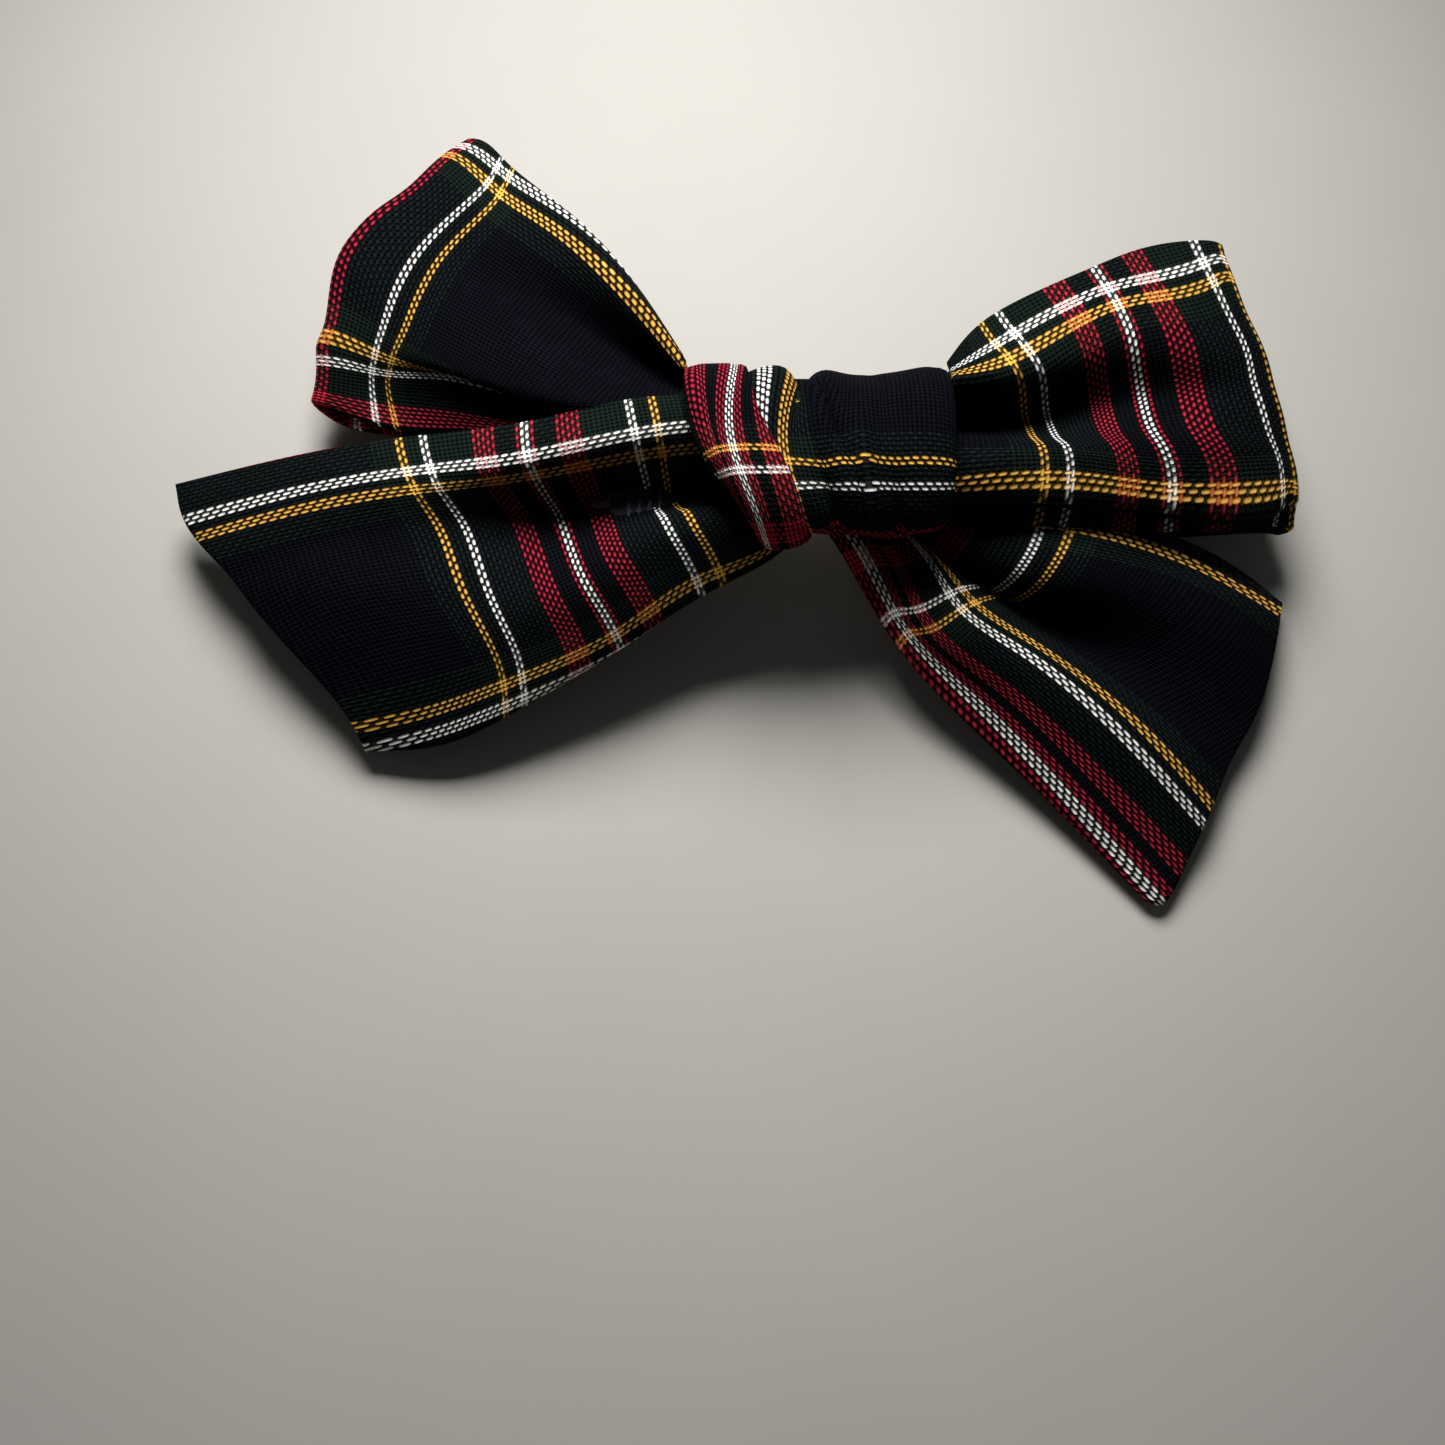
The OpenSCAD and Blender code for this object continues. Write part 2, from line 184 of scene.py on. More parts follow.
def ripples(u, s, size, seed):
    """Gentle long waves over a piece of cloth, in mm."""
    random = np.random.default_rng(seed)
    wave_count = 9
    one_turn = 6.28
    total = np.zeros_like(u)
    for _ in range(wave_count):
        angle = random.uniform(-0.5, 0.5)
        wave = random.uniform(5, 13)
        phase = random.uniform(0, one_turn)
        total += np.sin((u * math.cos(angle) + s * math.sin(angle) * 0.6) * one_turn / wave + phase)
    return total * size / math.sqrt(wave_count)


def cloth(name, points, yarns, u, s, material, creases, waves, seed):
    """A closed slab of sash through a fine grid of points, with creases and waves in its surface."""
    uu, ss = np.meshgrid(u, s)
    lift = ripples(uu, ss, waves, seed)
    for path, width, height in creases:
        lift += crease(uu, ss, path, width, height)
    points = points + normals(points) * lift[:, :, None]
    vertices, faces, counts = slab(points, yarns, u, s, SASH_THICKNESS)
    return mesh_object(name, vertices, faces, counts, material)


def limb(name, net, warp, weft, material, seed):
    """One limb of the sash: a closed slab of cloth through a net of points in mm.
    Warp holds the yarn count at each point of each row. Weft holds one count for each row, or two where
    the row's ends differ."""
    net = np.asarray(net, float)
    warp = np.array(warp, float)
    weft = np.array([w if hasattr(w, "__len__") else (w, w) for w in weft], float)
    columns = np.concatenate([[0], np.cumsum(np.linalg.norm(np.diff(net, axis=1), axis=2).mean(axis=0))])
    rows = np.concatenate([[0], np.cumsum(np.linalg.norm(np.diff(net, axis=0), axis=2).mean(axis=1))])
    weft = weft[:, :1] + (columns / columns[-1])[None, :] * (weft[:, 1:] - weft[:, :1])
    full = np.concatenate([net, warp[:, :, None], weft[:, :, None]], axis=2)
    u = steps(columns[0], columns[-1])
    s = steps(rows[0], rows[-1])
    full = spline(columns, np.swapaxes(full, 0, 1), u)
    full = spline(rows, np.swapaxes(full, 0, 1), s)
    return cloth(name, full[:, :, :3], full[:, :, 3:], u, s, material, (), LIMB_WAVES, seed)


# The knot's section from its back, up its upper side, over its front and down again: (y, z) in mm
knot_section = np.array([(0.6, 9.8), (5.5, 9.9), (8.1, 11.6), (8.7, 14.2), (7.3, 16.7), (4.3, 19.0),
                         (0.3, 19.9), (-3.6, 19.8), (-6.9, 18.4), (-8.7, 15.8), (-8.2, 13.2),
                         (-5.5, 10.1), (-0.6, 9.8)])
# Places along that section, in mm from its start: the middle of the front, and where the underside begins
WRAP_MIDDLE = 24.7
WRAP_UNDER = 35


def wrap(name, columns, along, material, creases, seed):
    """A pleat wrapped round the knot. Each column is its yarn, its x at the knot's top, middle and bottom,
    and its inset there. Along holds the yarn count at the middle and its change for each mm of wrap."""
    columns = np.array(columns, float)
    turn = np.concatenate([[0], np.cumsum(np.linalg.norm(np.diff(knot_section, axis=0), axis=1))])
    across = (columns[:, 0] - columns[0, 0]) * ACROSS_PITCH
    u = steps(across[0], across[-1], 0.35)
    s = steps(turn[0], turn[-1], 0.35)
    wide = spline(across, columns, u)
    stations = [turn[0], 8, 14.6, WRAP_MIDDLE, 32, 37, turn[-1]]
    picks = [0, 0, 0, 1, 2, 2, 2]
    lean = 0.3 * (wide[:, 3] - wide[:, 2])
    places = [wide[:, 1 + k] + (lean if station > WRAP_UNDER else 0) for k, station in zip(picks, stations)]
    x = spline(stations, np.array(places), s)
    inset = spline(stations, np.array([wide[:, 4 + k] for k in picks]), s)
    ring = spline(turn, knot_section, s)
    heading = np.gradient(ring, axis=0)
    outward = np.stack([-heading[:, 1], heading[:, 0]], axis=1)
    outward /= -np.linalg.norm(outward, axis=1, keepdims=True)
    y = ring[:, :1] - inset * outward[:, :1]
    z = ring[:, 1:] - inset * outward[:, 1:]
    points = np.stack([x, y, z], axis=2)
    middle, change = along
    picked = middle + change * (s - WRAP_MIDDLE)
    yarns = np.stack(np.broadcast_arrays(wide[:, 0][None, :], picked[:, None]), axis=2)
    return cloth(name, points, yarns, u, s, material, creases, KNOT_WAVES, seed)


# ---------------------------------------------------------------- materials

class Nodes:
    """Short calls for building a material's node tree."""

    def __init__(self, name):
        self.material = bpy.data.materials.new(name)
        self.material.use_nodes = True
        self.tree = self.material.node_tree
        self.bsdf = self.tree.nodes["Principled BSDF"]

    def link(self, source, socket):
        if isinstance(source, (int, float)):
            socket.default_value = source
        else:
            self.tree.links.new(source, socket)

    def math(self, operation, a, b=0.0):
        node = self.tree.nodes.new("ShaderNodeMath")
        node.operation = operation
        for value, socket in zip((a, b), node.inputs):
            self.link(value, socket)
        return node.outputs[0]

    def bands(self, value, stops):
        """A colour for each stretch of value from 0 to 1, given as (start, colour)."""
        node = self.tree.nodes.new("ShaderNodeValToRGB")
        node.color_ramp.interpolation = "CONSTANT"
        elements = node.color_ramp.elements
        while len(elements) > 1:
            elements.remove(elements[-1])
        for k, (start, colour) in enumerate(stops):
            stop = elements[0] if k == 0 else elements.new(start)
            stop.position = start
            stop.color = (*colour, 1)
        self.link(value, node.inputs[0])
        return node.outputs[0]

    def mix(self, factor, a, b, mode="MIX"):
        node = self.tree.nodes.new("ShaderNodeMix")
        node.data_type = "RGBA"
        node.blend_type = mode
        self.link(factor, node.inputs[0])
        for value, socket in ((a, node.inputs[6]), (b, node.inputs[7])):
            if isinstance(value, tuple):
                socket.default_value = (*value, 1)
            else:
                self.tree.links.new(value, socket)
        return node.outputs[2]

    def noise(self, vector, scale, detail, roughness):
        node = self.tree.nodes.new("ShaderNodeTexNoise")
        node.inputs["Scale"].default_value = scale
        node.inputs["Detail"].default_value = detail
        node.inputs["Roughness"].default_value = roughness
        self.tree.links.new(vector, node.inputs["Vector"])
        return node.outputs[0]

    def combine(self, x, y, z=0.0):
        node = self.tree.nodes.new("ShaderNodeCombineXYZ")
        for value, socket in zip((x, y, z), node.inputs):
            self.link(value, socket)
        return node.outputs[0]

    def split(self, vector):
        node = self.tree.nodes.new("ShaderNodeSeparateXYZ")
        self.tree.links.new(vector, node.inputs[0])
        return node.outputs

    def bump(self, height, strength, distance):
        node = self.tree.nodes.new("ShaderNodeBump")
        node.inputs["Strength"].default_value = strength
        node.inputs["Distance"].default_value = distance
        self.tree.links.new(height, node.inputs["Height"])
        self.tree.links.new(node.outputs[0], self.bsdf.inputs["Normal"])

    def grey(self, colour):
        node = self.tree.nodes.new("ShaderNodeRGBToBW")
        self.tree.links.new(colour, node.inputs[0])
        return node.outputs[0]

    def object_coordinates(self):
        return self.tree.nodes.new("ShaderNodeTexCoord").outputs["Object"]


# Yarn colours, linear
NAVY = (0.0036, 0.0039, 0.0066)
DARK = (0.004, 0.005, 0.0052)
GREEN = (0.0065, 0.0115, 0.009)
RED = (0.31, 0.008, 0.023)
WHITE = (0.80, 0.79, 0.74)
YELLOW = (0.64, 0.34, 0.05)


def tartan():
    """Woven tartan: each yarn's colour comes from its number, and the upper yarn of each crossing shows."""
    n = Nodes("tartan_cotton")
    uv = n.tree.nodes.new("ShaderNodeUVMap")
    uv.uv_map = "yarns"
    a, b, _ = n.split(uv.outputs[0])
    i = n.math("FLOOR", a)
    j = n.math("FLOOR", b)

    def sett(index, repeat, bands):
        """Colour of a yarn by its distance from the nearest white centre line, since the sett is mirrored
        there. Bands are (distance at which the band starts, colour)."""
        folded = n.math("PINGPONG", index, repeat / 2)
        return n.bands(n.math("DIVIDE", folded, repeat / 2), [(t * 2 / repeat, c) for t, c in bands])

    warp = sett(i, ACROSS_REPEAT, [
        (0, WHITE), (1.5, RED), (4.5, DARK), (7.5, RED), (12.5, GREEN),
        (20, WHITE), (23, GREEN), (25, YELLOW), (28, GREEN), (34, NAVY)])
    weft = sett(n.math("ADD", j, 0.5), ALONG_REPEAT, [
        (0, WHITE), (1, RED), (2.3, DARK), (6.2, RED), (11.2, GREEN),
        (20, WHITE), (22, GREEN), (24.5, YELLOW), (26.5, GREEN), (32, NAVY)])

    def crown(place, side, colour, length, width):
        """Height of a yarn, a lens that leans with the yarn's twist: 1 at the middle of its float and 0 at
        its edge. The bright yarns are plumper than the dark ones, so their floats are longer."""
        near = n.math("SUBTRACT", n.math("FLOORED_MODULO", n.math("ADD", place, 1.0), 2.0), 1.0)
        bulk = n.math("MINIMUM", n.math("MULTIPLY", n.grey(colour), 4.0), 1.0)
        reach = n.math("ADD", length, n.math("MULTIPLY", bulk, 0.08))
        along = n.math("POWER", n.math("ABSOLUTE", n.math("DIVIDE", near, reach)), 2.2)
        leaned = n.math("ADD", side, n.math("MULTIPLY", near, 0.1))
        aside = n.math("POWER", n.math("ABSOLUTE", n.math("DIVIDE", leaned, width)), 2.0)
        return n.math("SUBTRACT", n.math("SUBTRACT", 1.0, along), aside)

    side_a = n.math("SUBTRACT", n.math("FRACT", a), 0.5)
    side_b = n.math("SUBTRACT", n.math("FRACT", b), 0.5)
    warp_height = crown(n.math("SUBTRACT", n.math("SUBTRACT", b, i), 0.5), side_a, warp, 0.9, 0.40)
    weft_height = crown(n.math("SUBTRACT", n.math("SUBTRACT", a, j), 1.5), side_b, weft, 0.78, 0.40)
    upper = n.math("GREATER_THAN", weft_height, warp_height)
    height = n.math("MAXIMUM", n.math("MAXIMUM", warp_height, weft_height), 0.0)
    own = n.mix(upper, warp, weft)
    other = n.mix(upper, weft, warp)
    # A bright yarn takes in some of the colour that it crosses
    blur = n.math("MINIMUM", n.math("MULTIPLY", n.grey(own), 5.0), 0.4)
    colour = n.mix(blur, own, other, "ADD")
    yarn = n.noise(n.combine(a, b), 0.9, 3.0, 0.6)
    patch = n.noise(n.combine(a, b), 0.11, 2.0, 0.5)
    # Painted shade and highlight: yarns darken towards their edges, the gaps between them are painted
    # nearly black, and the crowns are brightened past the yarn colour; the yarns' own unevenness is
    # multiplied in
    painted_yarn_light = n.math("ADD", n.math("MULTIPLY", n.math("POWER", height, 0.8), 1.15), 0.015)
    uneven = n.math("MULTIPLY", n.math("ADD", yarn, 0.45),
                    n.math("ADD", n.math("MULTIPLY", patch, 0.5), 0.75))
    painted_light_and_unevenness = n.math("MULTIPLY", painted_yarn_light, uneven)
    # Painted highlight: the crowns of the yarns are made paler, and the sides and gaps more saturated
    tone = n.tree.nodes.new("ShaderNodeHueSaturation")
    n.link(n.math("SUBTRACT", 1.12, n.math("MULTIPLY", height, 0.2)), tone.inputs["Saturation"])
    n.link(painted_light_and_unevenness, tone.inputs["Value"])
    n.tree.links.new(colour, tone.inputs["Color"])
    n.link(tone.outputs[0], n.bsdf.inputs["Base Color"])
    n.bsdf.inputs["Roughness"].default_value = 0.75
    n.bsdf.inputs["Specular IOR Level"].default_value = 0.008
    n.bsdf.inputs["Sheen Weight"].default_value = 0.004
    n.bsdf.inputs["Sheen Roughness"].default_value = 0.5
    n.bump(n.math("ADD", height, n.math("MULTIPLY", yarn, 0.3)), 0.7, 0.00013)
    return n.material


def metal(name, colour, roughness, grain, stretch=1):
    """Plated metal with a fine grain, drawn out along the barrette where stretch is below 1, and stains."""
    n = Nodes(name)
    where = n.object_coordinates()
    x, y, z = n.split(where)
    lines = n.noise(n.combine(n.math("MULTIPLY", x, stretch), y, z), grain, 4.0, 0.6)
    stains = n.noise(where, 180.0, 3.0, 0.6)
    tone = n.mix(stains, tuple(0.8 * c for c in colour), colour)
    n.link(tone, n.bsdf.inputs["Base Color"])
    n.bsdf.inputs["Metallic"].default_value = 1.0
    n.link(n.math("ADD", n.math("MULTIPLY", lines, 0.2), roughness - 0.1), n.bsdf.inputs["Roughness"])
    n.bump(lines, 0.15, 0.00002)
    return n.material


def plain(name, low, high, scale, roughness, bump_distance, sheen=0.0, specular=0.3):
    """Matt stuff with a mottled colour and a rough surface."""
    n = Nodes(name)
    where = n.object_coordinates()
    mottle = n.noise(where, scale, 5.0, 0.65)
    n.link(n.mix(mottle, low, high), n.bsdf.inputs["Base Color"])
    n.bsdf.inputs["Roughness"].default_value = roughness
    n.bsdf.inputs["Sheen Weight"].default_value = sheen
    n.bsdf.inputs["Specular IOR Level"].default_value = specular
    n.bump(mottle, 0.6, bump_distance)
    return n.material


tartan_cotton = tartan()
plate_steel = metal("plate_steel", (0.62, 0.61, 0.58), 0.3, 900.0, 0.15)
spring_steel = metal("spring_steel", (0.5, 0.5, 0.49), 0.35, 1200.0, 0.1)
rivet_steel = metal("rivet_steel", (0.72, 0.71, 0.69), 0.22, 700.0)
hot_glue = plain("hot_glue", (0.62, 0.56, 0.40), (0.80, 0.75, 0.60), 300.0, 0.35, 0.0001)
felt = plain("felt", (0.006, 0.008, 0.014), (0.02, 0.024, 0.034), 2500.0, 0.95, 0.0004, 0.4, 0.1)
thread = plain("thread", (0.004, 0.005, 0.008), (0.02, 0.022, 0.03), 4000.0, 0.6, 0.0001, 0.3)

# ---------------------------------------------------------------- sash limbs

# A net holds a limb's rows of (x, y, z) points in mm. Each row runs across the limb, and the rows follow
# each other from the knot outwards.

def with_back(front, levels, outward):
    """A loop's net: front rows out to the fold, the bulging fold, and the back rows in again underneath.
    Levels caps the height of each back row, and the fold bulges along outward."""
    front = np.asarray(front, float)
    fold = front[-1] + [outward[0] * FOLD_BULGE, outward[1] * FOLD_BULGE, -LAYER_GAP / 2]
    under = front[-1] - [0, 0, LAYER_GAP]
    back = front[-2::-1].copy()
    for row, level in zip(back, levels[-2::-1]):
        row[:, 2] = np.minimum(row[:, 2] - LAYER_GAP, level)
    return np.concatenate([front, [fold], [under], back])


def there_and_back(front, turned):
    """Yarn counts for a loop: those of its front rows, then of its back rows, the fold included."""
    return list(front) + [turned] * 2 + list(front)[-2::-1]


# Left loop
left_loop_front = [
    [[-4.5, 11.5, 11.5], [-4, 10, 12.8], [-4, 9.5, 9.5], [-4, 6.5, 11.6], [-3.5, 4.5, 12],
     [-3.5, 5.5, 11], [-3.5, 4, 10.8], [-3, 1.5, 11.6]],
    [[-8.5, 19, 10.5], [-9, 17, 12.8], [-11.5, 15, 8.5], [-14.5, 8, 12.5], [-16.5, 6.5, 12],
     [-16.5, 8, 10.6], [-17, 6.5, 9.8], [-15.5, 3, 10.4]],
    [[-16, 29.5, 8.5], [-17, 26.5, 11], [-21, 20.5, 10.2], [-24, 12.5, 12.5], [-26, 9.5, 12],
     [-27, 11, 10.3], [-27.5, 10, 9], [-26, 5.5, 7.5]],
    [[-23.5, 38, 6.5], [-24.5, 33, 8.5], [-29, 26, 10], [-32.5, 18, 10.5], [-34, 14, 9.5],
     [-34.5, 13, 8.5], [-35, 12, 7.5], [-34.5, 7, 5.5]],
    [[-27.5, 42, 5], [-29, 39.5, 6.5], [-33.5, 33, 8], [-39.5, 24, 8.5], [-40.5, 17, 7.8],
     [-41, 15.5, 7.3], [-41, 14, 6.8], [-42, 10, 5]],
]
left_loop = limb(
    "left_loop_cloth", with_back(left_loop_front, [10.4, 10, 8, 6, 4.5], [-0.8, 0.5]),
    there_and_back([[24, 27, 42, 62, 78, 84, 91, 104], [23.5, 27, 43, 63, 79, 85, 91, 104],
                    [21.5, 26.5, 45, 65, 79.5, 85.5, 91, 104], [19, 28, 46.5, 67, 80.5, 85, 90, 104],
                    [18, 24, 44, 66, 82, 85, 88.5, 103]], [18, 24, 44, 66, 82, 85, 88.5, 103]),
    [-85, -66, -45, -23, -9, -8, -7, 7, 29, 50, 69], tartan_cotton, seed=1)

# Left tail
left_tail_net = [
    [[-0.5, 7, 12.5], [1, 2.5, 13], [2, -1.5, 9.8], [3.5, -4.5, 11.8], [6, -6.5, 10.6], [7, -7, 10]],
    [[-3, 6, 13.8], [-2, 1.5, 15.2], [-1.5, -2, 9.5], [1, -6.5, 14], [3.5, -9, 11.5], [4, -9.5, 10.5]],
    [[-8.5, 6, 13], [-7.5, 1, 15], [-6.5, -1.5, 7.8], [-4.5, -7.5, 13.8],
     [-2, -11.5, 11.5], [-1.5, -12.5, 10]],
    [[-19.5, 4.5, 11], [-18.5, -1, 14], [-17, -2.5, 7.4], [-13.5, -11.5, 11.5],
     [-10.5, -16.5, 9.5], [-10, -17.5, 8]],
    [[-31, 4.5, 8], [-29, -1, 10.8], [-26.5, -5, 8.6], [-23, -13.5, 10],
     [-20, -20.5, 7.5], [-20, -23, 5.5]],
    [[-43.5, 3, 7], [-42, -2, 8], [-39.5, -7, 8], [-35.5, -14, 8.5], [-28.5, -23, 5.5], [-28, -26, 3.5]],
    [[-55.5, 1, 5], [-53.5, -4, 5.5], [-49.5, -8.5, 6], [-43, -16, 5.5], [-36, -24, 3.5], [-35, -26, 2]],
]
left_tail = limb(
    "left_tail_cloth", left_tail_net,
    [[12.5, 24, 42, 62, 83.5, 87], [12.5, 24, 42, 62, 83.5, 87], [12.5, 24, 42, 62, 83.5, 87],
     [13.5, 24, 41, 62, 83.5, 88], [13, 24, 40, 60, 83.5, 91], [12, 24, 38, 58, 83.5, 92],
     [13, 24, 37, 58, 83.5, 89]],
    [43, 36, 23, 0, -23, -48, (-73, -56)], tartan_cotton, seed=2)

# Right loop, whose lower edge is folded over itself in an S
right_loop_front = [
    [[21.5, 9.5, 13.5], [21.5, 7.5, 15], [21.5, 6, 15], [22.5, 5.5, 9], [21.5, 1.5, 13.5], [21, -3.5, 14.5],
     [21, -4, 13.2], [21, -2.5, 11.6], [21.5, -3.5, 11], [22, -5, 10.6]],
    [[26, 15.5, 12.5], [27.5, 11, 14.5], [29.5, 7.5, 14.2], [31, 6, 9], [31, 1, 13.5], [31.5, -2.5, 13.5],
     [31.5, -4, 12.4], [32, -2.5, 11], [32, -3.5, 10], [31.5, -5.5, 9.2]],
    [[37, 22, 11], [38, 17.5, 13], [39.5, 11, 13.8], [41, 7, 10.6], [41, 1.5, 13.5], [42.5, -3, 12],
     [42.5, -4.5, 11], [43, -2.5, 9.6], [43, -4, 8.9], [43, -5.5, 8]],
    [[48, 26.5, 9], [48.5, 22, 10.5], [50.5, 13, 12], [51.5, 7.5, 12], [52.5, 2.5, 11.5], [53.5, -2, 10.5],
     [53.5, -3.5, 9.7], [54, -2, 8.6], [54, -3, 8], [54, -4.5, 6.8]],
    [[51, 27, 8], [51, 23.5, 9], [52.5, 14.5, 10.5], [53.5, 8, 11], [54.5, 3, 10], [55, -1.5, 9.5],
     [55, -2.5, 8.9], [55.5, -1.5, 8], [55.5, -2.5, 7.5], [55.5, -4.5, 6.5]],
]
right_loop = limb(
    "right_loop_cloth", with_back(right_loop_front, [10.6, 10.2, 9, 7.8, 6.8], [1, 0])[:, ::-1],
    [row[::-1] for row in there_and_back(
        [[14, 24, 33, 46, 71, 83.5, 86.5, 89, 91, 97], [14.5, 24, 34, 47, 70, 83.5, 86.5, 89, 91, 97],
         [15, 24, 39, 54, 69, 83.5, 86.5, 89, 91, 97], [15.5, 24, 43, 58, 71, 83.5, 86.5, 89, 91, 97],
         [17, 24, 43, 58, 72, 83.5, 86.5, 88.5, 90, 96]], [17, 24, 43, 58, 72, 83.5, 86.5, 88.5, 90, 96])],
    [-42, -23, 0, 21, 25.5, 27, 28.5, 33, 53, 76, 95], tartan_cotton, seed=3)

# Right tail
right_tail_net = [
    [[8.5, -4.5, 9.9], [10, -4.5, 9.9], [11.5, -4.5, 10], [13.5, -4.5, 10], [15.5, -4, 9.9],
     [17, -3.5, 9.9], [18, -3, 9.8], [19.5, -2, 9.8]],
    [[11, -7.5, 8.5], [12.5, -7.5, 9.8], [14.5, -7.5, 9.5], [17, -7, 9.4], [19.5, -6.5, 6.5],
     [20.5, -5.5, 8.5], [21.5, -4.5, 8], [22.5, -2.5, 6]],
    [[16, -16, 6.5], [17, -15, 7.5], [19, -15, 8.5], [22, -13.5, 9], [27, -10.5, 3.8],
     [29.5, -10.5, 8.6], [32, -6.5, 9], [33.5, -2.5, 5.5]],
    [[23, -23.5, 4], [24, -22, 5], [26.5, -21, 6.5], [29, -18.5, 7.8], [34.5, -14.5, 3.2],
     [39, -12.5, 7.8], [42.5, -8, 7.4], [44.5, -4.5, 4]],
    [[32, -32, 2], [33, -31, 3], [35.5, -29.5, 4.5], [38.5, -26.5, 6], [43, -21, 4],
     [47.5, -16.5, 6.4], [50, -11, 6], [52, -8, 2.5]],
    [[40, -40.5, 1], [41.5, -41, 1.2], [43.5, -38, 2], [45.5, -34, 3], [49, -27, 3],
     [52.5, -20.5, 3.8], [54.5, -13, 4.2], [56, -11, 1.5]],
]
right_tail = limb(
    "right_tail_cloth", np.asarray(right_tail_net)[:, ::-1],
    [row[::-1] for row in [[-5, 0, 8, 20, 40, 60, 80, 86.9], [-5, 0, 8, 20, 40, 60, 80, 86.9],
                           [-3, 0, 9.5, 23, 42, 62, 81.5, 86.9], [-3, 0, 10, 23, 43, 63, 82.5, 86.9],
                           [-3, 0.5, 10, 23, 42, 62, 83, 86.9], [-2, 0.5, 10, 22, 42, 62, 83, 86.9]]],
    [-3, 5, 24, 45, (56, 72), (63, 97)], tartan_cotton, seed=4)

# The knot: a pleat on the left that lies over the wider part on the right
left_pleat = wrap("knot_left_pleat", [
    # yarn, x at top, middle, bottom, inset at top, middle, bottom
    (-20, -1.6, 0.2, 4.6, 2.9, 2.9, 2.6),
    (-16, -3.1, -1.2, 3.3, 2.2, 2.2, 1.8),
    (-13, -3.4, -1.4, 2.9, 1.1, 1.3, 0.8),
    (-10.5, -2.9, -0.9, 3.0, 0.4, 0.6, 0),
    (-6, -1.5, -0.4, 3.2, 0.2, 0.2, -0.6),
    (0, 0.6, 0.6, 3.6, 0.2, 0, -0.8),
    (6, 1.6, 2.4, 4.9, 0.5, -0.2, -0.9),
    (10, 2.1, 3.9, 6.2, 1.3, 0, -0.7),
    (13, 1.8, 4.7, 7.1, 2.0, 0.6, -0.1),
    (17, 0.8, 3.9, 6.3, 2.6, 1.7, 1.0),
], (25.5, -2.5), tartan_cotton, [([(10, 12), (10.5, 22), (9, 33)], 0.9, 0.3),
                                 ([(3.2, 12), (4, 22), (5, 30)], 0.6, 0.35)], seed=5)
right_part = wrap("knot_right_part", [
    (14, 0.8, 3.0, 6.0, 2.3, 2.6, 2.6),
    (18, 1.8, 3.3, 6.2, 1.2, 2.0, 2.0),
    (22.5, 3.7, 4.0, 6.6, 0.4, 0.9, 1.2),
    (26.5, 5.6, 4.9, 7.2, 0.6, 0.5, 0.8),
    (31, 6.9, 6.4, 8.5, 2.4, 0.9, 0.6),
    (36, 8.5, 8.4, 10, 1.2, 0.4, 0.4),
    (42, 10.5, 10.3, 12, 0.9, 0.2, 0.4),
    (50, 13.5, 13.5, 14.5, 1.1, 0.1, 0.2),
    (60, 17.5, 17.3, 17.5, 0.6, 0.2, 0.4),
    (67, 20.2, 20.0, 19.8, 0.8, 0.7, 0.9),
    (71, 20.9, 20.7, 20.3, 1.9, 1.6, 1.6),
    (76, 20, 19.8, 19.5, 2.8, 2.6, 2.6),
], (27.8, -2.2), tartan_cotton, [([(9.2, 15.5), (10.2, 19), (11.4, 23), (12.2, 28)], 0.5, -2.0),
                                 ([(8.3, 15.5), (9.2, 19), (10.2, 23)], 0.6, 0.7),
                                 ([(8.9, 32), (9.2, 21)], 1.3, -2.4),
                                 ([(13.5, 30), (13.4, 24), (13.2, 18)], 0.55, 1.2),
                                 ([(16.4, 32), (16.2, 23)], 1.3, -1.3),
                                 ([(15, 12), (15.5, 20), (14.5, 27)], 0.6, -0.4),
                                 ([(21.5, 12), (21.5, 30)], 0.7, 0.35)], seed=6)


def bundle(name, material):
    """The gathered folds of the sash inside the knot, pinched in at both ends.
    The left end leans as the knot does."""
    middle_y, middle_z = 0.1, 14.4
    half_depth, half_height = 6.4, 3.7
    right_end = 20
    lean = 0.42
    around = np.radians(np.arange(0, 360, 3.75))
    # (place along the bundle, size there), with both ends drawn inwards
    stations = [(0.02, 0.1), (0.04, 0.5), (0.02, 0.85), (0.06, 1)] + [(k / 10, 1) for k in range(1, 10)]
    stations += [(0.94, 1), (0.98, 0.85), (0.96, 0.5), (0.98, 0.1)]
    vertices, faces, counts = [], [], []
    for t, size in stations:
        for angle in around:
            fold = 1 + 0.09 * math.sin(7 * angle + 1.5 * t) + 0.04 * math.sin(16 * angle)
            y = middle_y + half_depth * size * fold * math.cos(angle)
            left = 1 - lean * y
            x = left + t * (right_end - left)
            vertices.append((x, y, middle_z + half_height * size * fold * math.sin(angle)))
            counts.append((40 + 40 * angle, x / ALONG_PITCH))
    width = len(around)
    for i in range(len(stations) - 1):
        for j in range(width):
            a, b = i * width + j, i * width + (j + 1) % width
            faces.append([b, a, a + width, b + width])
    faces.append(list(range(width)))
    faces.append(list(range(len(vertices) - 1, len(vertices) - 1 - width, -1)))
    return mesh_object(name, vertices, faces, counts, material)


core = bundle("knot_core_folds", tartan_cotton)
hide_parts("knot_core")
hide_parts("knot_band")
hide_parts("knot_band")

# ---------------------------------------------------------------- backing

# Middle of the barrette, height of the felt pad's top there, and the radius the pad is bent to, in mm
CLIP_X, CLIP_Y = 8.5, 0.5
PAD_TOP = 9.2
PAD_BEND = 261


def arc(x, top):
    """Height at x of an arc as bent as the pad, whose highest point is at top."""
    return top - PAD_BEND + np.sqrt(PAD_BEND ** 2 - np.asarray(x, float) ** 2)


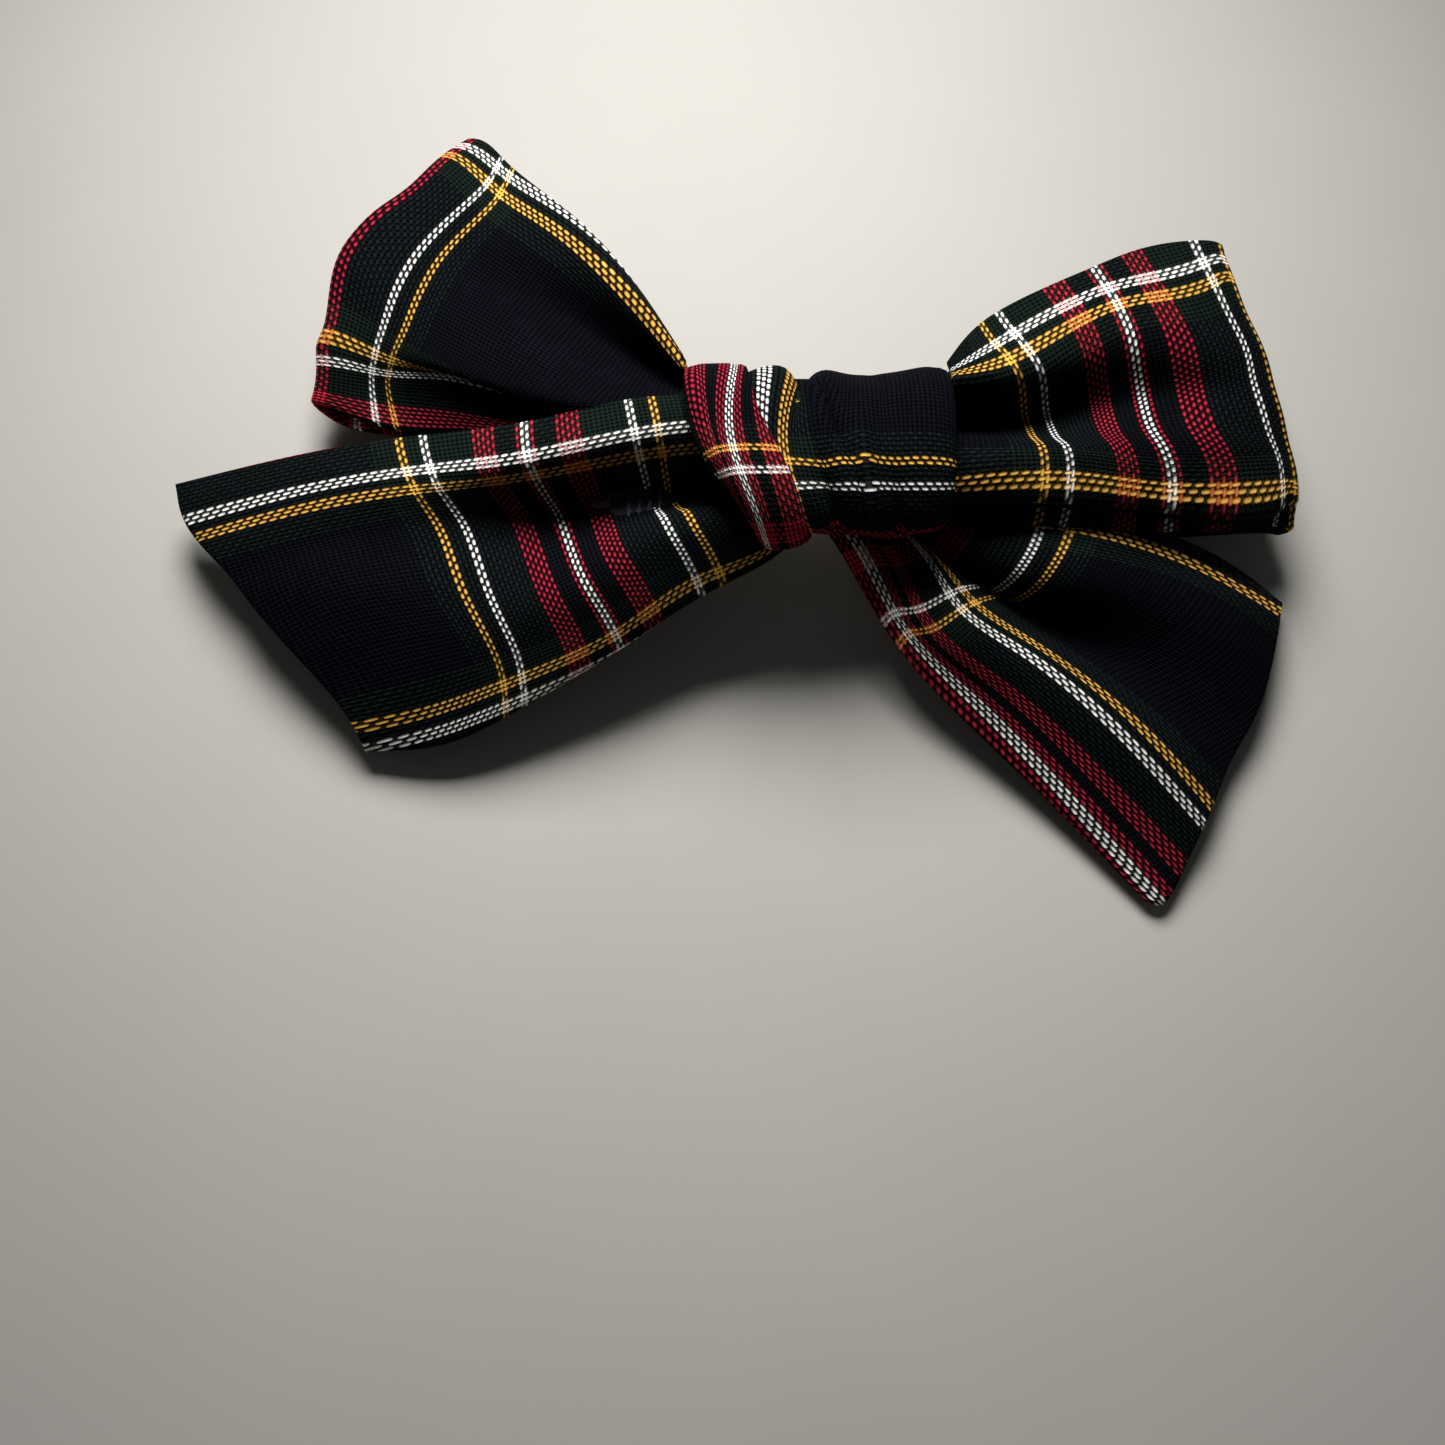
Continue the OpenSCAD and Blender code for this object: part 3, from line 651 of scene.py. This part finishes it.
def pad(name, half_length, half_width, top, thickness, rough, material, seed):
    """A thin bent pad with a slightly rough surface. Half_width gives its half width at places along it."""
    u = steps(-half_length, half_length, 0.4, thickness / 2)
    v = steps(-1, 1, 0.07, 0.1)
    points = np.stack(np.broadcast_arrays(u[None, :], v[:, None] * half_width(u)[None, :],
                                          arc(u, top - thickness / 2)[None, :]), axis=2)
    points = points + np.array([CLIP_X, CLIP_Y, 0])
    yarns = points[:, :, :2] / ACROSS_PITCH
    vertices, faces, counts = slab(points, yarns, u, v * half_width(np.zeros(1))[0], thickness)
    random = np.random.default_rng(seed)
    vertices = vertices + random.normal(0, rough, vertices.shape)
    return mesh_object(name, vertices, faces, counts, material)


def felt_half_width(x):
    """Half width of the felt pad, whose corners have a 2 mm radius."""
    past = np.clip(np.abs(x) - 18, 0, 1.99)
    return 3 + np.sqrt(4 - past ** 2)


def glue_half_width(x):
    """Half width of the squeezed bead of glue, with a wavy edge."""
    return 3.7 * (1 - np.minimum(np.abs(x) / 9.2, 0.985) ** 4) ** 0.5 * (1 + 0.05 * np.sin(2.1 * x))


def thread_path(x):
    """One turn of thread round the felt and the plate at x: its (y, z) points and outward directions."""
    half_width = 5.3
    low, high = float(arc(x, 7.3)), float(arc(x, 9.4))
    corners = [(half_width, high), (-half_width, high), (-half_width, low), (half_width, low)]
    path = []
    for k, (start, end) in enumerate(zip(corners, corners[1:] + corners[:1])):
        for t in np.linspace(0, 1, 40 if k % 2 == 0 else 10, endpoint=False):
            path.append((start[0] + (end[0] - start[0]) * t, start[1] + (end[1] - start[1]) * t))
    path = np.array(path)
    path = (np.roll(path, 1, axis=0) + path + np.roll(path, -1, axis=0)) / 3
    heading = np.roll(path, -1, axis=0) - np.roll(path, 1, axis=0)
    outward = np.stack([heading[:, 1], -heading[:, 0]], axis=1)
    return path, outward / np.linalg.norm(outward, axis=1, keepdims=True)


def thread_turns(name, material):
    """Two-ply thread in closed turns, 1 mm apart, near both ends of the pad."""
    turns, first_turn = 4, 15
    ply_offset, ply_radius, ply_sides = 0.1, 0.11, 6
    twists_per_turn = 14
    sway = 0.12
    vertices, faces = [], []
    for x in [side * (first_turn + turn) for side in (-1, 1) for turn in range(turns)]:
        path, outward = thread_path(x)
        count = len(path)
        for ply in (0, 180):
            base = len(vertices)
            for k in range(count):
                twist = math.radians(ply + 360 * twists_per_turn * k / count)
                middle_x = CLIP_X + x + ply_offset * math.cos(twist)
                middle_x += sway * math.sin(2 * math.pi * k / count)
                middle_out = ply_offset * math.sin(twist)
                for angle in np.radians(360 / ply_sides * np.arange(ply_sides)):
                    out = middle_out + ply_radius * math.sin(angle)
                    y, z = path[k] + out * outward[k]
                    vertices.append((middle_x + ply_radius * math.cos(angle), CLIP_Y + y, z))
            for k in range(count):
                this, after = base + ply_sides * k, base + ply_sides * ((k + 1) % count)
                for a in range(ply_sides):
                    b = (a + 1) % ply_sides
                    faces.append([this + a, this + b, after + b, after + a])
    return mesh_object(name, vertices, faces, None, material)


felt_sheet = pad("felt_pad_sheet", 20, felt_half_width, PAD_TOP, 0.96, 0.03, felt, 7)
glue_bead = pad("glue_bead", 9, glue_half_width, 9.58, 0.36, 0.01, hot_glue, 8)
lashing = thread_turns("sewing_thread_turns", thread)
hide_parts("felt_pad")
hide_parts("glue_layer")
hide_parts("sewing_thread")

for piece, node in ((left_loop, "left_loop"), (left_tail, "left_tail"),
                    (right_loop, "right_loop"), (right_tail, "right_tail")):
    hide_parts(node)
tartan_pieces = [left_loop, left_tail, right_loop, right_tail, left_pleat, right_part, core]
for piece in tartan_pieces + [felt_sheet, glue_bead, lashing]:
    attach(piece, "bow")

# ---------------------------------------------------------------- CAD pieces

finish_of = {
    plate_steel: ("top_plate", "hinge_bracket", "clasp_arm", "catch_base"),
    spring_steel: ("leaf_spring", "front_prong", "rear_prong"),
    rivet_steel: ("hinge_pin", "hinge_rivet", "catch_rivet"),
}
for material, nodes in finish_of.items():
    for node in nodes:
        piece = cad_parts[node]
        piece.data.materials.clear()
        piece.data.materials.append(material)

# ---------------------------------------------------------------- floor and light

floor_mesh = bpy.data.meshes.new("floor")
half_side = 3
floor_mesh.from_pydata([(-half_side, -half_side, 0), (half_side, -half_side, 0),
                        (half_side, half_side, 0), (-half_side, half_side, 0)], [], [(0, 1, 2, 3)])
floor = bpy.data.objects.new("floor", floor_mesh)
bpy.context.scene.collection.objects.link(floor)
floor_material = plain("floor", (0.43, 0.41, 0.375), (0.47, 0.45, 0.41), 30.0, 0.9, 0.0)
floor_mesh.materials.append(floor_material)


def area_light(name, place, target, size, power, spread):
    """Square soft light at place, facing target, both in mm, over a cone of spread degrees."""
    data = bpy.data.lights.new(name, "AREA")
    data.size = size * MM
    data.energy = power
    data.spread = math.radians(spread)
    obj = bpy.data.objects.new(name, data)
    obj.location = Vector(place) * MM
    obj.rotation_euler = (Vector(target) - Vector(place)).to_track_quat("-Z", "Y").to_euler()
    bpy.context.scene.collection.objects.link(obj)


area_light("key", (-15, 130, 165), (-5, -5, 0), 110, 0.27, 95)
world = bpy.data.worlds.new("world")
bpy.context.scene.world = world
world.use_nodes = True
world.node_tree.nodes["Background"].inputs[0].default_value = (0.9, 0.95, 1.0, 1)
world.node_tree.nodes["Background"].inputs[1].default_value = 0.05
bpy.context.scene.view_settings.view_transform = "Standard"
